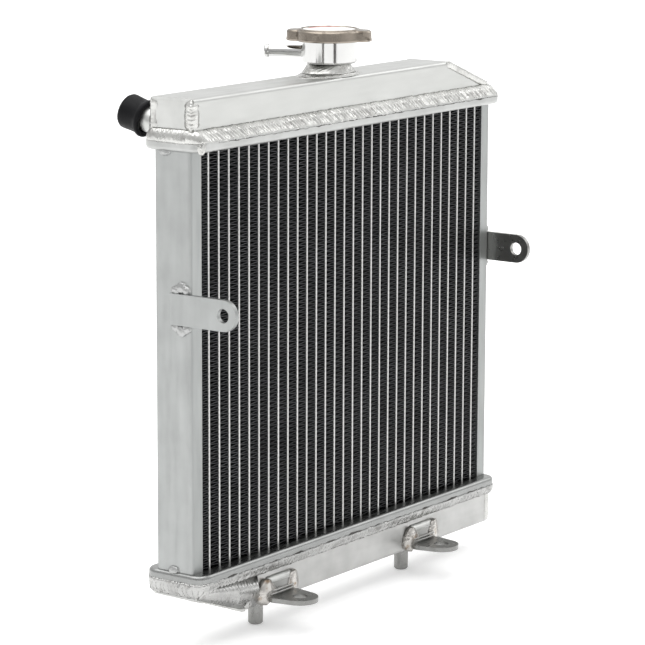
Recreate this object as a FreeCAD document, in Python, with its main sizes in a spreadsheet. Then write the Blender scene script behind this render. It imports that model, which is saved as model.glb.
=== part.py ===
import FreeCAD, Part
import Sketcher
import math
import os

# Aluminium car radiator: a brazed core of flat tubes and corrugated fins between two header
# plates, welded box tanks above and below, side channels with bolt-on straps, a filler neck
# with a pressure cap, and hose pipes at the back.
#
# Frame: +X along the core's width, +Y towards the back, +Z up. The origin is midway between
# the two locating pins, where they meet the underside of the bottom tank.

doc = FreeCAD.newDocument("CarRadiator")
sheet = doc.addObject("Spreadsheet::Sheet", "Size")

DIMENSIONS = (
    # Core
    ("tube_count", 30), ("tube_pitch", 10.0), ("tube_thick", 2.0), ("tube_wall", 0.35),
    ("tube_depth", 27.0), ("tube_nose_share", 0.49), ("core_height", 256.5), ("tube_end", 2.5),
    ("fin_depth", 24.0), ("fin_fold", 6.4), ("fin_sheet", 0.2), ("side_plate", 1.5),
    # Header plates: shallow trays with their lips turned away from the core
    ("tray_length", 330.0), ("tray_depth", 45.5), ("tray_corner", 9.0), ("tray_plate", 2.0),
    ("tray_lip", 6.0), ("lip_thick", 2.4), ("bend_radius", 2.5),
    # Tanks
    ("tank_depth", 32.0), ("tank_wall", 2.0), ("tank_half_length", 162.0),
    ("bottom_tank_height", 33.2), ("top_tank_height", 31.9),
    ("slope_run", 47.0), ("slope_drop", 17.7), ("top_slope_end", 156.0),
    ("slope_inner_drop", 1.4), ("cut_margin", 5.0), ("drill_length", 20.0),
    # Side channels and the straps on them
    ("channel_outer", 162.75), ("channel_flange", 10.1), ("channel_depth", 27.6),
    ("channel_sheet", 1.8), ("channel_bend", 2.0), ("strap_width", 19.0), ("strap_thick", 3.0),
    ("strap_hole", 8.5), ("strap_overlap", 14.3), ("left_strap_reach", 35.4), ("right_strap_reach", 31.7),
    ("left_strap_height", 195.5), ("right_strap_height", 192.0),
    # Lower brackets and locating pins
    ("foot_spacing", 159.0), ("foot_top", 4.6), ("foot_leg_top", 13.7), ("foot_leg_width", 25.0),
    ("foot_base_width", 28.0), ("foot_sheet", 3.0), ("foot_reach", 17.3), ("foot_tip_radius", 11.5),
    ("foot_taper_half", 10.81), ("foot_taper_end", 3.91), ("foot_hole", 9.5), ("pin_spacing", 162.5),
    ("pin_diameter", 9.5), ("pin_length", 18.0), ("pin_chamfer", 1.0),
    # Filler neck and overflow nipple
    ("neck_x", -4.0), ("neck_heading", -64.0), ("neck_radius", 17.65), ("neck_wall", 1.6),
    ("neck_floor_height", 329.2), ("neck_rim_height", 346.8), ("rim_radius", 19.0),
    ("rim_turn_down", 2.6), ("rim_sheet", 0.8), ("rim_thick", 1.0), ("neck_floor", 1.5),
    ("cup_chamfer", 1.2), ("notch_half", 5.6), ("notch_depth", 5.0), ("close_gap", 0.05),
    ("throat_radius", 12.6), ("throat_wall", 1.6), ("throat_inside", 0.5),
    ("nipple_height", 335.8), ("nipple_radius", 3.85), ("nipple_bore", 2.6),
    ("nipple_end", 41.0), ("nipple_bead", 4.35), ("nipple_bead_start", 3.0),
    ("nipple_bead_full", 2.4), ("nipple_tip", 0.8), ("nipple_inset", 0.3),
    # Pressure cap
    ("skirt_radius", 20.9), ("skirt_height", 343.0), ("cap_top_height", 350.8),
    ("cap_sheet", 0.8), ("dish_radius", 17.5), ("dish_depth", 2.2), ("ear_radius", 9.0),
    ("ear_reach", 27.2), ("tang_width", 9.0), ("tang_inner", 17.95), ("tang_thick", 0.9),
    ("stem_radius", 3.0), ("running_gap", 0.06), ("bell_radius", 10.1), ("bell_wall", 0.8),
    ("bell_bottom", 337.4), ("bell_top", 346.0), ("disc_radius", 18.7), ("disc_thick", 0.5),
    ("seal_radius", 14.0), ("seal_bore", 5.0), ("seal_thick", 2.0), ("valve_plate", 1.2),
    ("seal_overhang", 0.5), ("guide_wall", 0.6), ("valve_guide_height", 5.0),
    ("spring_wire", 0.7), ("spring_radius", 7.3),
    ("spring_turns", 4.5), ("vacuum_disc", 4.5), ("vacuum_stem", 2.0), ("vacuum_low", 1.1),
    ("vacuum_head", 1.0), ("vacuum_head_low", 2.2), ("vacuum_head_top", 3.0),
    ("stem_head", 1.5), ("stem_head_low", 0.1), ("stem_head_top", 0.7), ("stem_hole", 3.0),
    # Hose pipes and their rubber transport caps
    ("inlet_x", -151.5), ("inlet_height", 303.0), ("inlet_tilt", 15.5),
    ("outlet_x", 151.5), ("outlet_height", 15.6), ("pipe_radius", 8.0), ("pipe_wall", 1.5),
    ("pipe_inside", 4.0), ("pipe_reach", 25.0), ("bead_radius", 8.8), ("bead_width", 3.0),
    ("bead_slope", 1.0), ("pipe_tip", 2.0), ("rubber_mouth", 11.3), ("rubber_radius", 10.9),
    ("rubber_rim", 11.4), ("rubber_reach", 28.0), ("rubber_end", 2.6),
)
for row, (alias, number) in enumerate(DIMENSIONS, start=1):
    sheet.set(f"A{row}", alias)
    sheet.set(f"B{row}", str(number))
    sheet.setAlias(f"B{row}", alias)
doc.recompute()

subparts = []


def value(expression):
    """The number that an expression over the sheet gives, in millimetres or degrees."""
    return float(sheet.evalExpression(str(expression)))


def finish(item, label):
    """Name a finished piece and list it for export."""
    item.Label = label
    subparts.append(item)
    return item


def place(item, x="0", y="0", z="0", axis=None, angle="0"):
    """Bind a piece's position, and its turn about one axis, to the sheet."""
    if axis is not None:
        item.Placement = FreeCAD.Placement(FreeCAD.Vector(), FreeCAD.Rotation(axis, value(angle)))
        item.setExpression("Placement.Rotation.Angle", angle)
    item.setExpression("Placement.Base.x", x)
    item.setExpression("Placement.Base.y", y)
    item.setExpression("Placement.Base.z", z)


def new_body(name):
    return doc.addObject("PartDesign::Body", name)


def new_sketch(body, plane):
    """An empty sketch on one of the body's own origin planes."""
    sketch = body.newObject("Sketcher::SketchObject", body.Name + "_sketch")
    support = [item for item in body.Origin.OriginFeatures if item.Role == plane][0]
    sketch.AttachmentSupport = [(support, "")]
    sketch.MapMode = "FlatFace"
    return sketch


def fix(sketch, kind, arguments, expression):
    """Add a dimension to a sketch and bind it to the sheet."""
    index = sketch.addConstraint(Sketcher.Constraint(kind, *arguments, value(expression)))
    sketch.setExpression(f"Constraints[{index}]", expression)


def polygon(sketch, corners):
    """A closed outline with straight sides; each corner is a pair of expressions."""
    points = [FreeCAD.Vector(value(x), value(y), 0) for x, y in corners]
    first = sketch.GeometryCount
    count = len(points)
    for index, point in enumerate(points):
        sketch.addGeometry(Part.LineSegment(point, points[(index + 1) % count]), False)
    for index in range(count):
        following = first + (index + 1) % count
        sketch.addConstraint(Sketcher.Constraint("Coincident", first + index, 2, following, 1))
    for index, (x, y) in enumerate(corners):
        fix(sketch, "DistanceX", (-1, 1, first + index, 1), x)
        fix(sketch, "DistanceY", (-1, 1, first + index, 1), y)


def rectangle(sketch, left, right, low, high):
    polygon(sketch, ((left, low), (right, low), (right, high), (left, high)))


def circle(sketch, x, y, radius):
    centre = FreeCAD.Vector(value(x), value(y), 0)
    index = sketch.addGeometry(Part.Circle(centre, FreeCAD.Vector(0, 0, 1), value(radius)), False)
    fix(sketch, "DistanceX", (-1, 1, index, 3), x)
    fix(sketch, "DistanceY", (-1, 1, index, 3), y)
    fix(sketch, "Radius", (index,), radius)


def rounded_rectangle(sketch, half_x, half_y, corner):
    """A rectangle about the sketch's origin with round corners."""
    a, b, r = value(half_x), value(half_y), value(corner)
    normal = FreeCAD.Vector(0, 0, 1)
    sides = (((r - a, -b), (a - r, -b)), ((a, r - b), (a, b - r)),
             ((a - r, b), (r - a, b)), ((-a, b - r), (-a, r - b)))
    centres = ((a - r, r - b), (a - r, b - r), (r - a, b - r), (r - a, r - b))
    lines = []
    arcs = []
    for index in range(4):
        start, end = sides[index]
        line = Part.LineSegment(FreeCAD.Vector(*start, 0), FreeCAD.Vector(*end, 0))
        lines.append(sketch.addGeometry(line, False))
        turn = math.radians(90 * index - 90)
        round_corner = Part.Circle(FreeCAD.Vector(*centres[index], 0), normal, r)
        arc = Part.ArcOfCircle(round_corner, turn, turn + math.pi / 2)
        arcs.append(sketch.addGeometry(arc, False))
    for index in range(4):
        after = lines[(index + 1) % 4]
        sketch.addConstraint(Sketcher.Constraint("Tangent", lines[index], 2, arcs[index], 1))
        sketch.addConstraint(Sketcher.Constraint("Tangent", arcs[index], 2, after, 1))
        direction = "Horizontal" if index % 2 == 0 else "Vertical"
        sketch.addConstraint(Sketcher.Constraint(direction, lines[index]))
    for index in range(1, 4):
        sketch.addConstraint(Sketcher.Constraint("Equal", arcs[0], arcs[index]))
    fix(sketch, "Radius", (arcs[0],), corner)
    fix(sketch, "DistanceY", (-1, 1, lines[0], 1), f"-({half_y})")
    fix(sketch, "DistanceX", (-1, 1, lines[1], 1), half_x)
    fix(sketch, "DistanceY", (-1, 1, lines[2], 1), half_y)
    fix(sketch, "DistanceX", (-1, 1, lines[3], 1), f"-({half_x})")


def pad(body, sketch, length, reverse=False, symmetric=False):
    feature = body.newObject("PartDesign::Pad", body.Name + "_pad")
    feature.Profile = sketch
    feature.SideType = "Symmetric" if symmetric else "One side"
    feature.Reversed = reverse
    feature.setExpression("Length", length)
    return feature


def pocket(body, sketch, length, reverse=False, symmetric=False):
    """Cut the sketch's shape out of the body, and make sure that it removed material."""
    doc.recompute()
    before = body.Shape.Volume
    feature = body.newObject("PartDesign::Pocket", body.Name + "_pocket")
    feature.Profile = sketch
    feature.SideType = "Symmetric" if symmetric else "One side"
    feature.Reversed = reverse
    feature.setExpression("Length", length)
    doc.recompute()
    if body.Shape.Volume > before - 0.01:
        raise ValueError(f"{feature.Label} removed nothing")
    return feature


def revolve(body, corners):
    """Turn an outline of (radius, height) corners about the body's Z axis."""
    sketch = new_sketch(body, "XZ_Plane")
    polygon(sketch, corners)
    feature = body.newObject("PartDesign::Revolution", body.Name + "_turned")
    feature.Profile = sketch
    feature.ReferenceAxis = (sketch, ["V_Axis"])
    feature.Angle = 360
    return feature


def round_edges(body, feature, radius, chosen):
    """Fillet the feature's edges that chosen(edge) picks."""
    doc.recompute()
    names = [f"Edge{index}" for index, edge in enumerate(feature.Shape.Edges, 1) if chosen(edge)]
    fillet = body.newObject("PartDesign::Fillet", body.Name + "_round")
    fillet.Base = (feature, names)
    fillet.setExpression("Radius", radius)
    body.Tip = fillet
    return fillet


def near(first, second):
    return abs(first - second) < 0.001


# Heights that several pieces share.
CORE_BOTTOM = "Size.bottom_tank_height"
CORE_TOP = "Size.bottom_tank_height + Size.core_height"
TANK_TOP = "Size.bottom_tank_height + Size.core_height + Size.top_tank_height"
NECK_X = "Size.neck_x"
FIRST_TUBE_X = "-Size.tube_pitch * (Size.tube_count - 1) / 2"


# --- Core: flat tubes, fins and the two plates that close its sides ------------------------

def tube_section(sketch, thick, depth):
    """A flat tube's outline: two straight sides joined by round noses."""
    rounded_rectangle(sketch, f"({thick}) / 2", f"({depth}) / 2",
                      f"({thick}) * Size.tube_nose_share")


def core_tube(number):
    body = new_body(f"core_tube_{number:02d}")
    sketch = new_sketch(body, "XY_Plane")
    tube_section(sketch, "Size.tube_thick", "Size.tube_depth")
    tube_section(sketch, "Size.tube_thick - 2 * Size.tube_wall",
                 "Size.tube_depth - 2 * Size.tube_wall")
    pad(body, sketch, "Size.core_height + 2 * (Size.tray_plate + Size.tube_end)")
    place(body, f"{FIRST_TUBE_X} + {number - 1} * Size.tube_pitch", "0",
          f"{CORE_BOTTOM} - Size.tray_plate - Size.tube_end")
    return finish(body, f"core_tube_{number:02d}")


def fin_strip_outline():
    """One corrugated strip, seen from the front: legs from wall to wall, with flat crests."""
    half = (value("Size.tube_pitch") - value("Size.tube_thick")) / 2
    fold = value("Size.fin_fold")
    leg = fold / 2
    crest = value("Size.fin_sheet")
    folds = int(value("Size.core_height") / fold)
    inner = half - crest * 2 * half / leg
    side_a = []
    side_b = []
    for index in range(folds):
        right = fold * (index + 0.25)
        left = fold * (index + 0.75)
        side_a += [(half, right - crest), (half, right + crest), (-inner, left)]
        side_b += [(inner, right), (-half, left - crest), (-half, left + crest)]
    corners = side_a + side_b[::-1]
    points = [FreeCAD.Vector(x, 0, z) for x, z in corners]
    return Part.Face(Part.makePolygon(points + points[:1]))


def fin_rows():
    """A strip between each pair of tubes, and one outside the first and the last tube."""
    depth = value("Size.fin_depth")
    strip = fin_strip_outline().extrude(FreeCAD.Vector(0, depth, 0))
    pitch = value("Size.tube_pitch")
    spare = (value("Size.core_height") % value("Size.fin_fold")) / 2
    strips = []
    for index in range(int(value("Size.tube_count")) + 1):
        copy = strip.copy()
        copy.translate(FreeCAD.Vector(value(FIRST_TUBE_X) + (index - 0.5) * pitch, -depth / 2, spare))
        strips.append(copy)
    item = doc.addObject("Part::Feature", "fin_rows")
    item.Shape = Part.makeCompound(strips)
    place(item, "0", "0", CORE_BOTTOM)
    return finish(item, "fin_rows")


def core_side_plates():
    """The plates that the outermost fins are brazed to, one at each side of the core."""
    plates = []
    for name, side in (("left", "-1"), ("right", "1")):
        plate = doc.addObject("Part::Box", f"{name}_core_side_plate")
        plate.setExpression("Length", "Size.side_plate")
        plate.setExpression("Width", "Size.fin_depth")
        plate.setExpression("Height", "Size.core_height")
        fins_end = "(Size.tube_pitch * (Size.tube_count + 1) / 2 - Size.tube_thick / 2)"
        shift = "- Size.side_plate" if name == "left" else ""
        place(plate, f"{side} * {fins_end} {shift}", "-Size.fin_depth / 2", CORE_BOTTOM)
        plates.append(plate)
    pair = doc.addObject("Part::Compound", "core_side_plates")
    pair.Links = plates
    return finish(pair, "core_side_plates")


# --- Header plates -------------------------------------------------------------------------

def header_plate(label, height, upside_down):
    """A shallow tray, slotted for every tube, with its outer bend rounded."""
    body = new_body(label)
    outer = new_sketch(body, "XY_Plane")
    rounded_rectangle(outer, "Size.tray_length / 2", "Size.tray_depth / 2", "Size.tray_corner")
    block = pad(body, outer, "Size.tray_lip")
    round_edges(body, block, "Size.bend_radius",
                lambda edge: near(edge.BoundBox.ZMax, 0))
    inner = new_sketch(body, "XY_Plane")
    inner.setExpression("AttachmentOffset.Base.z", "Size.tray_plate")
    rounded_rectangle(inner, "Size.tray_length / 2 - Size.lip_thick",
                      "Size.tray_depth / 2 - Size.lip_thick", "Size.tray_corner - Size.lip_thick")
    pocket(body, inner, "Size.tray_lip", reverse=True)
    slot = new_sketch(body, "XY_Plane")
    slot.setExpression("AttachmentOffset.Base.x", FIRST_TUBE_X)
    tube_section(slot, "Size.tube_thick", "Size.tube_depth")
    first_slot = pocket(body, slot, "Size.tray_plate", reverse=True)
    slots = body.newObject("PartDesign::LinearPattern", label + "_slots")
    slots.Originals = [first_slot]
    slots.Direction = (slot, ["H_Axis"])
    slots.setExpression("Length", "Size.tube_pitch * (Size.tube_count - 1)")
    slots.setExpression("Occurrences", "Size.tube_count")
    body.Tip = slots
    if upside_down:
        place(body, "0", "0", height, FreeCAD.Vector(1, 0, 0), "180")
    else:
        place(body, "0", "0", height)
    return finish(body, label)


# --- Tanks ---------------------------------------------------------------------------------
# A tank is drawn as the top one: open below, with its sloped end at +X. The bottom tank is
# the same sheet-metal work turned half round about Y.

def tank_outline(slope_end, height):
    """The front wall's outline, from the header plate up."""
    slope_start = f"({slope_end}) - Size.slope_run"
    shoulder = f"({height}) - Size.slope_drop"
    return (("-Size.tank_half_length", "0"), (slope_end, "0"), (slope_end, shoulder),
            (slope_start, height), ("-Size.tank_half_length", height))


def tank_shell(label, slope_end, height):
    """Front wall, roof and back wall folded from one sheet; both ends are open."""
    body = new_body(label)
    sheet_metal = new_sketch(body, "XZ_Plane")
    polygon(sheet_metal, tank_outline(slope_end, height))
    block = pad(body, sheet_metal, "Size.tank_depth", symmetric=True)
    roof_height = value(height)
    round_edges(body, block, "Size.bend_radius",
                lambda edge: near(edge.BoundBox.ZMin, roof_height) and near(edge.BoundBox.YLength, 0))
    inside = new_sketch(body, "XZ_Plane")
    roof = f"({height}) - Size.tank_wall"
    roof_end = f"({slope_end}) - Size.slope_run"
    clear_of_end = "Size.tank_half_length + Size.cut_margin"
    clear_of_roof = f"({height}) + Size.cut_margin"
    polygon(inside, ((f"-({clear_of_end})", "-Size.cut_margin"),
                     (clear_of_end, "-Size.cut_margin"), (clear_of_end, clear_of_roof),
                     (roof_end, clear_of_roof), (roof_end, roof), (f"-({clear_of_end})", roof)))
    pocket(body, inside, "Size.tank_depth - 2 * Size.tank_wall", symmetric=True)
    return body


def straight_end(label, height):
    """The flat plate that closes a tank's square end, between its front and back walls."""
    body = new_body(label)
    sketch = new_sketch(body, "XZ_Plane")
    rectangle(sketch, "-Size.tank_half_length", "Size.tank_wall - Size.tank_half_length",
              "0", f"({height}) - Size.tank_wall")
    pad(body, sketch, "Size.tank_depth - 2 * Size.tank_wall", symmetric=True)
    return body


def sloped_end(label, slope_end, height):
    """The bent plate that closes a tank's sloped end, between its front and back walls."""
    body = new_body(label)
    sketch = new_sketch(body, "XZ_Plane")
    slope_start = f"({slope_end}) - Size.slope_run"
    shoulder = f"({height}) - Size.slope_drop"
    polygon(sketch, ((slope_end, "0"), (slope_end, shoulder), (slope_start, height),
                     (slope_start, f"({height}) - Size.tank_wall"),
                     (f"({slope_end}) - Size.tank_wall", f"({shoulder}) - Size.slope_inner_drop"),
                     (f"({slope_end}) - Size.tank_wall", "0")))
    pad(body, sketch, "Size.tank_depth - 2 * Size.tank_wall", symmetric=True)
    return body


def stand_tank(body, upside_down):
    """Set a tank's piece on its header plate."""
    if upside_down:
        place(body, "0", "0", f"{CORE_BOTTOM} - Size.tray_plate", FreeCAD.Vector(0, 1, 0), "180")
    else:
        place(body, "0", "0", f"{CORE_TOP} + Size.tray_plate")


def cylinder(name, radius, length):
    item = doc.addObject("Part::Cylinder", name)
    item.setExpression("Radius", radius)
    item.setExpression("Height", length)
    return item


def point_backwards(item, x, y, z, tilt):
    """Lay an upright piece down so that it points to the back, tilted up by tilt."""
    place(item, x, y, z, FreeCAD.Vector(-1, 0, 0), f"90 - ({tilt})")


def top_tank():
    height = "Size.top_tank_height - Size.tray_plate"
    shell = tank_shell("top_tank_sheet", "Size.top_slope_end", height)
    stand_tank(shell, False)
    throat_hole = cylinder("throat_hole", "Size.throat_radius", "Size.drill_length")
    place(throat_hole, NECK_X, "0", f"{TANK_TOP} - Size.drill_length / 2")
    inlet_hole = cylinder("inlet_hole", "Size.pipe_radius", "Size.drill_length")
    point_backwards(inlet_hole, "Size.inlet_x",
                    "Size.tank_depth / 2 - Size.drill_length / 2 * cos(Size.inlet_tilt)",
                    "Size.inlet_height - Size.drill_length / 2 * sin(Size.inlet_tilt)",
                    "Size.inlet_tilt")
    with_throat = doc.addObject("Part::Cut", "top_tank_with_throat")
    with_throat.Base = shell
    with_throat.Tool = throat_hole
    drilled = doc.addObject("Part::Cut", "top_tank_shell")
    drilled.Base = with_throat
    drilled.Tool = inlet_hole
    finish(drilled, "top_tank_shell")
    left = straight_end("top_tank_left_end", height)
    stand_tank(left, False)
    finish(left, "top_tank_left_end")
    right = sloped_end("top_tank_right_end", "Size.top_slope_end", height)
    stand_tank(right, False)
    finish(right, "top_tank_right_end")


def bottom_tank():
    height = "Size.bottom_tank_height - Size.tray_plate"
    shell = tank_shell("bottom_tank_sheet", "Size.tank_half_length", height)
    stand_tank(shell, True)
    outlet_hole = cylinder("outlet_hole", "Size.pipe_radius", "Size.drill_length")
    point_backwards(outlet_hole, "Size.outlet_x", "Size.tank_depth / 2 - Size.drill_length / 2",
                    "Size.outlet_height", "0")
    drilled = doc.addObject("Part::Cut", "bottom_tank_shell")
    drilled.Base = shell
    drilled.Tool = outlet_hole
    finish(drilled, "bottom_tank_shell")
    right = straight_end("bottom_tank_right_end", height)
    stand_tank(right, True)
    finish(right, "bottom_tank_right_end")
    left = sloped_end("bottom_tank_left_end", "Size.tank_half_length", height)
    stand_tank(left, True)
    finish(left, "bottom_tank_left_end")


# --- Side channels and their straps --------------------------------------------------------

def side_channel(label, side):
    """A C-section whose closed side faces out and whose flanges cover the core's edges."""
    body = new_body(label)
    section = new_sketch(body, "XY_Plane")
    web = "Size.channel_outer - Size.channel_sheet"
    flange = "Size.channel_outer - Size.channel_flange"
    deep = "Size.channel_depth / 2"
    inside = "Size.channel_depth / 2 - Size.channel_sheet"
    outline = (("Size.channel_outer", f"-({deep})"), ("Size.channel_outer", deep),
               (flange, deep), (flange, inside), (web, inside), (web, f"-({inside})"),
               (flange, f"-({inside})"), (flange, f"-({deep})"))
    polygon(section, [(f"{side} * ({x})", y) for x, y in outline])
    length = pad(body, section, "Size.core_height")
    outer = value("Size.channel_outer")
    round_edges(body, length, "Size.channel_bend",
                lambda edge: near(edge.BoundBox.XMin, edge.BoundBox.XMax)
                and near(abs(edge.BoundBox.XMax), outer)
                and near(edge.BoundBox.YLength, 0))
    place(body, "0", "0", CORE_BOTTOM)
    return finish(body, label)


def side_strap(label, side, reach, height):
    """A flat strap on the channel's outer face, with a round front end and one hole."""
    body = new_body(label)
    half = "Size.strap_width / 2"
    tip = f"-(Size.channel_depth / 2 + {reach} - {half})"
    bar = new_sketch(body, "YZ_Plane")
    rectangle(bar, tip, "Size.strap_overlap - Size.channel_depth / 2", f"-({half})", half)
    pad(body, bar, "Size.strap_thick")
    nose = new_sketch(body, "YZ_Plane")
    circle(nose, tip, "0", half)
    pad(body, nose, "Size.strap_thick")
    hole = new_sketch(body, "YZ_Plane")
    circle(hole, tip, "0", "Size.strap_hole / 2")
    pocket(body, hole, "Size.strap_thick", reverse=True)
    start = "Size.channel_outer" if side == "1" else "-(Size.channel_outer + Size.strap_thick)"
    place(body, start, "0", height)
    return finish(body, label)


# --- Lower brackets and locating pins ------------------------------------------------------

def lower_bracket(label, side):
    """An angle on the bottom tank's front wall with a tapered, round-tipped foot."""
    body = new_body(label)
    face = "Size.tank_depth / 2"
    leg = new_sketch(body, "XY_Plane")
    rectangle(leg, "-Size.foot_leg_width / 2", "Size.foot_leg_width / 2",
              f"-({face}) - Size.foot_sheet", f"-({face})")
    pad(body, leg, "Size.foot_leg_top - Size.foot_top + Size.foot_sheet")
    foot = new_sketch(body, "XY_Plane")
    tip_y = f"-({face}) - Size.foot_reach"
    polygon(foot, (("-Size.foot_leg_width / 2", f"-({face})"),
                   ("-Size.foot_base_width / 2", f"-({face}) - 2 * Size.foot_sheet"),
                   ("-Size.foot_taper_half", f"{tip_y} - Size.foot_taper_end"),
                   ("Size.foot_taper_half", f"{tip_y} - Size.foot_taper_end"),
                   ("Size.foot_base_width / 2", f"-({face}) - 2 * Size.foot_sheet"),
                   ("Size.foot_leg_width / 2", f"-({face})")))
    pad(body, foot, "Size.foot_sheet")
    tip = new_sketch(body, "XY_Plane")
    circle(tip, "0", tip_y, "Size.foot_tip_radius")
    pad(body, tip, "Size.foot_sheet")
    hole = new_sketch(body, "XY_Plane")
    circle(hole, "0", tip_y, "Size.foot_hole / 2")
    pocket(body, hole, "Size.foot_sheet", reverse=True)
    place(body, f"{side} * Size.foot_spacing / 2", "0", "Size.foot_top - Size.foot_sheet")
    return finish(body, label)


def locating_pins():
    """Two upright pins with chamfered ends under the bottom tank."""
    pins = []
    for name, side in (("left", "-1"), ("right", "1")):
        body = new_body(f"{name}_locating_pin")
        radius = "Size.pin_diameter / 2"
        revolve(body, (("0", "0"), (radius, "0"),
                       (radius, "Size.pin_chamfer - Size.pin_length"),
                       (f"{radius} - Size.pin_chamfer", "-Size.pin_length"),
                       ("0", "-Size.pin_length")))
        place(body, f"{side} * Size.pin_spacing / 2")
        pins.append(body)
    pair = doc.addObject("Part::Compound", "locating_pins")
    pair.Links = pins
    return finish(pair, "locating_pins")


# --- Filler neck and overflow nipple -------------------------------------------------------
# The neck, the nipple and the cap share one upright axis and one heading, along the ears.

UPRIGHT = FreeCAD.Vector(0, 0, -1)
HEADING = "-Size.neck_heading"


def filler_neck():
    """A cup on a narrower throat, with a turned-down rim that has two entry notches."""
    body = new_body("filler_neck")
    wall = "Size.neck_radius - Size.neck_wall"
    bore = "Size.throat_radius - Size.throat_wall"
    floor = "Size.neck_floor_height"
    seat = "Size.neck_floor_height + Size.neck_floor"
    rim = "Size.neck_rim_height"
    bottom = f"{TANK_TOP} - Size.tank_wall - Size.throat_inside"
    under_rim = f"{rim} - Size.rim_thick"
    rim_inner = "Size.rim_radius - Size.rim_sheet"
    revolve(body, ((bore, bottom), ("Size.throat_radius", bottom), ("Size.throat_radius", floor),
                   ("Size.neck_radius - Size.cup_chamfer", floor),
                   ("Size.neck_radius", f"{floor} + Size.cup_chamfer"),
                   ("Size.neck_radius", under_rim), (rim_inner, under_rim),
                   (rim_inner, f"{rim} - Size.rim_turn_down"),
                   ("Size.rim_radius", f"{rim} - Size.rim_turn_down"),
                   ("Size.rim_radius", rim), (wall, rim), (wall, seat), (bore, seat)))
    inside = "Size.neck_radius + Size.close_gap"
    outside = "Size.rim_radius + Size.cut_margin"
    for near_end, far_end in ((inside, outside), (f"-({outside})", f"-({inside})")):
        notch = new_sketch(body, "XY_Plane")
        rectangle(notch, "-Size.notch_half", "Size.notch_half", near_end, far_end)
        notch.setExpression("AttachmentOffset.Base.z", f"{rim} - Size.notch_depth")
        pocket(body, notch, "2 * Size.notch_depth", reverse=True)
    port = new_sketch(body, "YZ_Plane")
    circle(port, "0", "Size.nipple_height", "Size.nipple_radius")
    pocket(body, port, "Size.neck_radius + Size.cut_margin", reverse=False)
    place(body, NECK_X, "0", "0", UPRIGHT, HEADING)
    return finish(body, "filler_neck")


def overflow_nipple():
    """A short tube with a hose bead near its free end."""
    body = new_body("overflow_nipple")
    start = "Size.neck_radius - Size.neck_wall + Size.nipple_inset"
    end = "Size.nipple_end"
    revolve(body, (("Size.nipple_bore", start), ("Size.nipple_radius", start),
                   ("Size.nipple_radius", f"{end} - Size.nipple_bead_start"),
                   ("Size.nipple_bead", f"{end} - Size.nipple_bead_full"),
                   ("Size.nipple_bead", f"{end} - Size.nipple_tip"), ("Size.nipple_radius", end),
                   ("Size.nipple_bore", end)))
    turn = FreeCAD.Rotation(FreeCAD.Vector(0, 0, 1), value("Size.neck_heading"))
    lay = FreeCAD.Rotation(FreeCAD.Vector(0, 1, 0), -90)
    body.Placement = FreeCAD.Placement(FreeCAD.Vector(), turn.multiply(lay))
    body.setExpression("Placement.Base.x", NECK_X)
    body.setExpression("Placement.Base.z", "Size.nipple_height")
    return finish(body, "overflow_nipple")


# --- Pressure cap --------------------------------------------------------------------------

def cap_shell():
    """A pressed cover with a dished top, two ears and two tangs turned in under the neck's rim."""
    body = new_body("cap_shell")
    low = "Size.skirt_height"
    tall = "Size.cap_top_height - Size.skirt_height"
    ear_x = "Size.ear_reach - Size.ear_radius"

    def layer(draw, height):
        sketch = new_sketch(body, "XY_Plane")
        sketch.setExpression("AttachmentOffset.Base.z", height)
        draw(sketch)
        return sketch

    def ears(radius):
        def draw(sketch):
            circle(sketch, ear_x, "0", radius)
            circle(sketch, f"-({ear_x})", "0", radius)
        return draw

    def disc(radius):
        return lambda sketch: circle(sketch, "0", "0", radius)

    pad(body, layer(disc("Size.skirt_radius"), low), tall)
    pad(body, layer(ears("Size.ear_radius"), low), tall)
    hollow = f"{tall} - Size.cap_sheet"
    pocket(body, layer(disc("Size.skirt_radius - Size.cap_sheet"), low), hollow, reverse=True)
    pocket(body, layer(ears("Size.ear_radius - Size.cap_sheet"), low), hollow, reverse=True)
    dish_floor = "Size.cap_top_height - Size.dish_depth - Size.cap_sheet"
    pad(body, layer(disc("Size.dish_radius + Size.cap_sheet"), dish_floor),
        "Size.dish_depth + Size.cap_sheet")
    pocket(body, layer(disc("Size.dish_radius"), "Size.cap_top_height"), "Size.dish_depth")
    pocket(body, layer(disc("Size.stem_radius + Size.running_gap"), "Size.cap_top_height"),
           "Size.dish_depth + Size.stem_hole")
    tangs = new_sketch(body, "XY_Plane")
    tangs.setExpression("AttachmentOffset.Base.z", low)
    outer = "Size.skirt_radius - Size.cap_sheet / 2"
    half = "Size.tang_width / 2"
    rectangle(tangs, f"-({half})", half, "Size.tang_inner", outer)
    rectangle(tangs, f"-({half})", half, f"-({outer})", "-Size.tang_inner")
    pad(body, tangs, "Size.tang_thick")
    place(body, NECK_X, "0", "0", UPRIGHT, HEADING)
    return finish(body, "cap_shell")


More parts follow.
